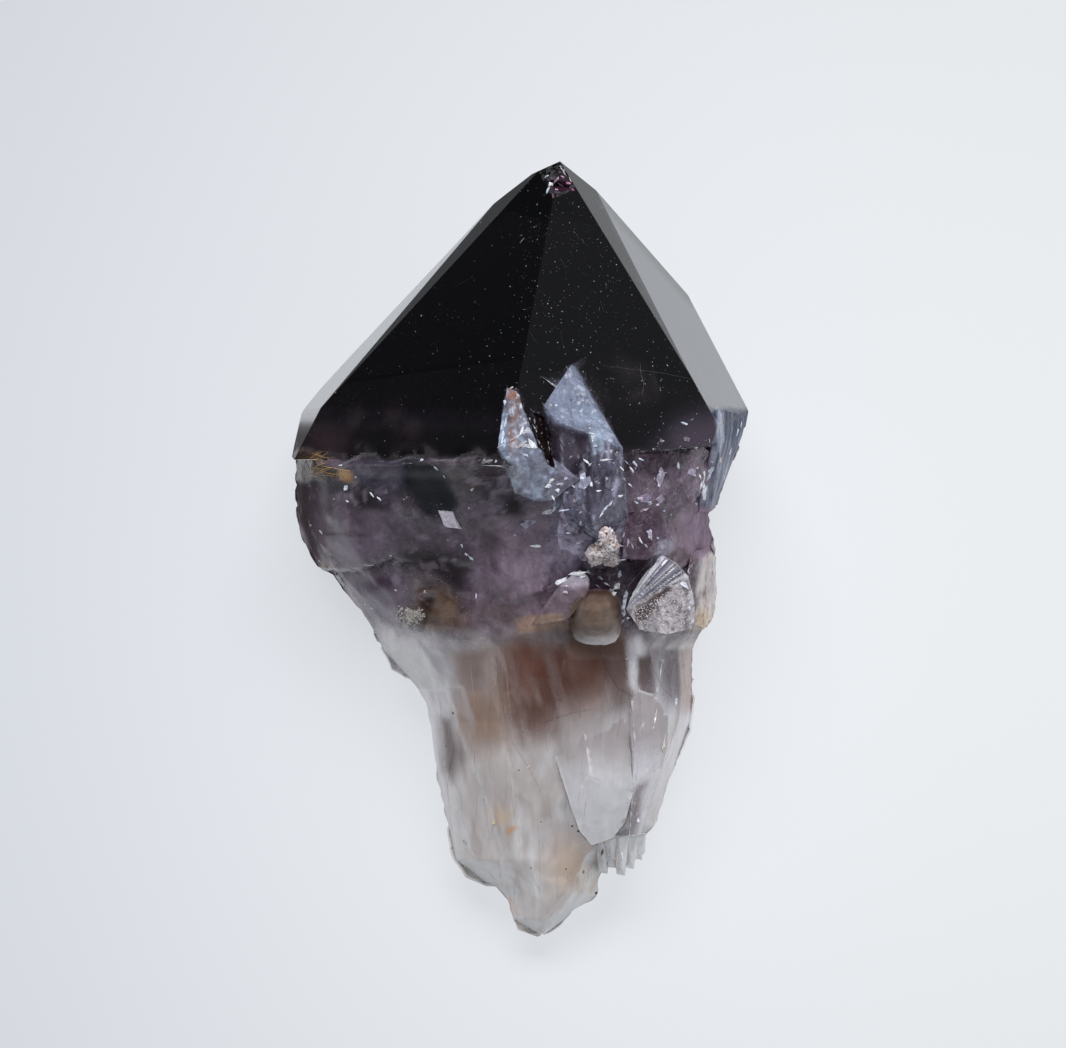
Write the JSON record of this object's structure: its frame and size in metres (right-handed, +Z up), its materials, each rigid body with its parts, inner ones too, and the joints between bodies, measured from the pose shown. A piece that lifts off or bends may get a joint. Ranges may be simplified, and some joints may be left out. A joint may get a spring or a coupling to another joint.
{
  "type": "amethyst point",
  "caption": "Natural smoky amethyst point with a broad dark pyramid head and a ragged milky root, lying on a flat break. A display mineral.",
  "frame": {"origin": "middle of the underside's bounding box, on the surface that the crystal lies on", "axes": "+Y from the root towards the tip, +X to the right as the crystal is seen from its front, +Z up, out of its front"},
  "size_m": [0.0814, 0.1322, 0.0615],
  "materials": {
    "amethyst": "polished natural faces on the head, glassy broken surfaces and a milky root below"
  },
  "bodies": {
    "root": {"amethyst_point": "amethyst"}
  },
  "joints": []
}
